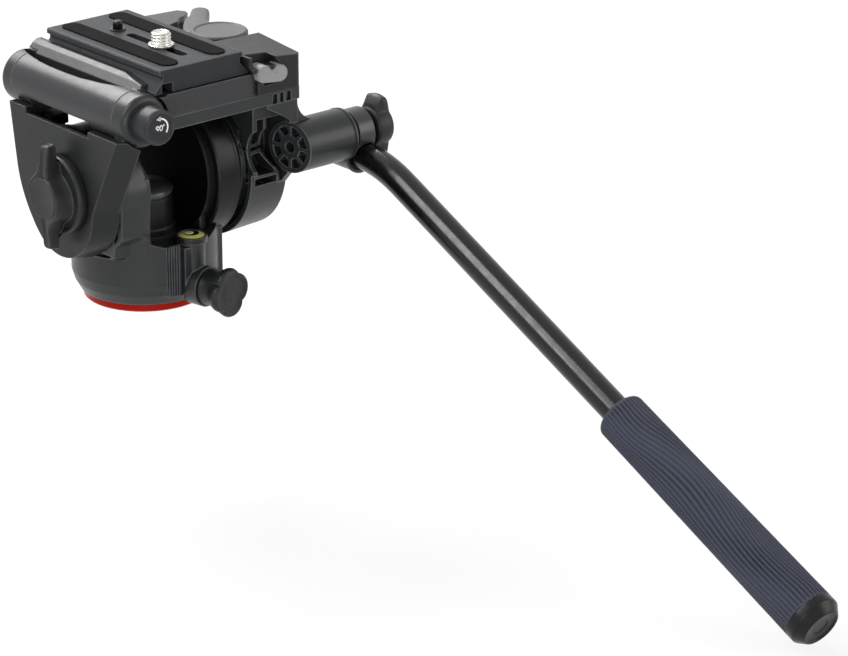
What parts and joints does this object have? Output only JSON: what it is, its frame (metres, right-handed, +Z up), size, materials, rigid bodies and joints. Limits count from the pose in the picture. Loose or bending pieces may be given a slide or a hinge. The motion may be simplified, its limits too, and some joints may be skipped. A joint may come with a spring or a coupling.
{
  "type": "fluid video head",
  "caption": "Fluid pan and tilt video head on a flat base, with flip-up quick-release camera platform, lock knobs, level vial and a bent pan bar with a rubber grip.",
  "frame": {"origin": "centre of the base's flat underside, on the pan axis", "axes": "+Z up along the pan axis; +Y the way the lens looks; +X the operator's right, along the tilt axis"},
  "size_m": [0.1716, 0.4222, 0.2199],
  "materials": {
    "body_paint": "satin charcoal powder coat",
    "inner_black": "satin black paint",
    "red_ring": "satin red anodised",
    "bright_steel": "bright plated steel",
    "plain_steel": "turned steel",
    "bronze": "sintered bronze",
    "alloy": "turned aluminium",
    "black_plastic": "fine textured black plastic",
    "grey_plastic": "light grey plastic",
    "tube_black": "gloss black lacquer on aluminium tube",
    "grip_rubber": "matt dark blue-grey rubber",
    "pad_rubber": "matt black rubber",
    "vial_glass": "clear",
    "vial_liquid": "yellow-green liquid",
    "grease": "damping grease"
  },
  "bodies": {
    "base": {"base_plate": "alloy", "base_ring": "red_ring", "thread_insert": "plain_steel", "base_screws": "plain_steel", "pan_spindle": "alloy", "spindle_nut": "plain_steel"},
    "pan": {"pan_housing": "body_paint", "pan_bush": "bronze", "pan_damper": "grease", "centre_column": "body_paint", "column_cap": "body_paint", "level_vial": "vial_glass", "level_liquid": "vial_liquid", "level_bubble": "vial_glass", "pan_shoe": "black_plastic", "tilt_cartridge": "inner_black", "cartridge_cover": "inner_black", "shaft_bush": "bronze", "pivot_bush": "bronze"},
    "pan_lock": {"pan_knob": "black_plastic", "pan_knob_screw": "plain_steel"},
    "tilt": {"tilt_shaft": "plain_steel", "cartridge_rotor": "alloy", "counterbalance_spring": "plain_steel", "left_pivot": "alloy", "left_arm": "body_paint", "right_arm": "body_paint", "lower_platform": "body_paint", "hinge_pin": "plain_steel", "rosette": "alloy"},
    "tilt_lock": {"tilt_knob": "black_plastic", "tilt_knob_screw": "plain_steel"},
    "flip": {"flip_deck": "body_paint", "catch_block": "body_paint"},
    "safety": {"safety_button": "grey_plastic"},
    "jaw": {"clamp_jaw": "black_plastic"},
    "lever": {"lock_lever": "grey_plastic"},
    "flip_release": {"flip_button": "black_plastic"},
    "plate": {"camera_plate": "body_paint", "plate_pads": "pad_rubber", "pin_bush": "black_plastic"},
    "carriage": {"screw_washer": "plain_steel"},
    "screw": {"camera_screw": "bright_steel"},
    "pin": {"align_pin": "bright_steel"},
    "bar": {"bar_clamp": "black_plastic", "bar_tube": "tube_black", "bar_grip": "grip_rubber", "grip_cap": "black_plastic"},
    "bar_lock": {"bar_knob": "black_plastic", "bar_knob_screw": "plain_steel"}
  },
  "joints": [
    {"name": "pan_turn", "type": "hinge", "parent": "base", "child": "pan", "pos_m": [0, 0, 0], "axis": [0, 0, 1], "continuous": true},
    {"name": "pan_lock_turn", "type": "hinge", "parent": "pan", "child": "pan_lock", "pos_m": [0, 0, 0.011], "axis": [0.2079, -0.9781, 0], "range_deg": [-90, 90]},
    {"name": "tilt_turn", "type": "hinge", "parent": "pan", "child": "tilt", "pos_m": [0, 0, 0.06], "axis": [1, 0, 0], "range_deg": [-80, 60]},
    {"name": "tilt_lock_turn", "type": "hinge", "parent": "tilt", "child": "tilt_lock", "pos_m": [0, 0, 0.06], "axis": [1, 0, 0], "range_deg": [0, 100]},
    {"name": "flip_turn", "type": "hinge", "parent": "tilt", "child": "flip", "pos_m": [-0.0313, 0, 0.1035], "axis": [0, -1, 0], "range_deg": [0, 90]},
    {"name": "flip_button_push", "type": "slide", "parent": "tilt", "child": "flip_release", "axis": [0, 1, 0], "range_m": [0, 0.003], "stiffness_N_per_m": 700, "springref_m": -0.004},
    {"name": "safety_push", "type": "slide", "parent": "flip", "child": "safety", "axis": [0, 1, 0], "range_m": [0, 0.0025], "stiffness_N_per_m": 600, "springref_m": -0.004},
    {"name": "lever_turn", "type": "hinge", "parent": "flip", "child": "lever", "pos_m": [0.0457, -0.0019, 0.118], "axis": [0, 0, -1], "range_deg": [0, 75]},
    {"name": "jaw_open", "type": "slide", "parent": "flip", "child": "jaw", "axis": [1, 0, 0], "range_m": [0, 0.0008]},
    {"name": "plate_slide", "type": "slide", "parent": "flip", "child": "plate", "axis": [0, 1, 0], "range_m": [-0.03, 0.03]},
    {"name": "screw_carriage", "type": "slide", "parent": "plate", "child": "carriage", "axis": [0, 1, 0], "range_m": [-0.014, 0.019]},
    {"name": "screw_turn", "type": "hinge", "parent": "carriage", "child": "screw", "pos_m": [0.0027, -0.0135, 0.119], "axis": [0, 0, 1], "continuous": true},
    {"name": "pin_push", "type": "slide", "parent": "plate", "child": "pin", "axis": [0, 0, -1], "range_m": [0, 0.0042], "stiffness_N_per_m": 500, "springref_m": -0.003},
    {"name": "bar_turn", "type": "hinge", "parent": "tilt", "child": "bar", "pos_m": [0.093, -0.044, 0.0722], "axis": [1, 0, 0], "continuous": true},
    {"name": "bar_lock_turn", "type": "hinge", "parent": "bar", "child": "bar_lock", "pos_m": [0.106, -0.044, 0.0722], "axis": [1, 0, 0], "continuous": true}
  ],
  "couplings": [
    {"joint": "jaw_open", "follows": "lever_turn", "m_per_rad": 0.000611}
  ]
}
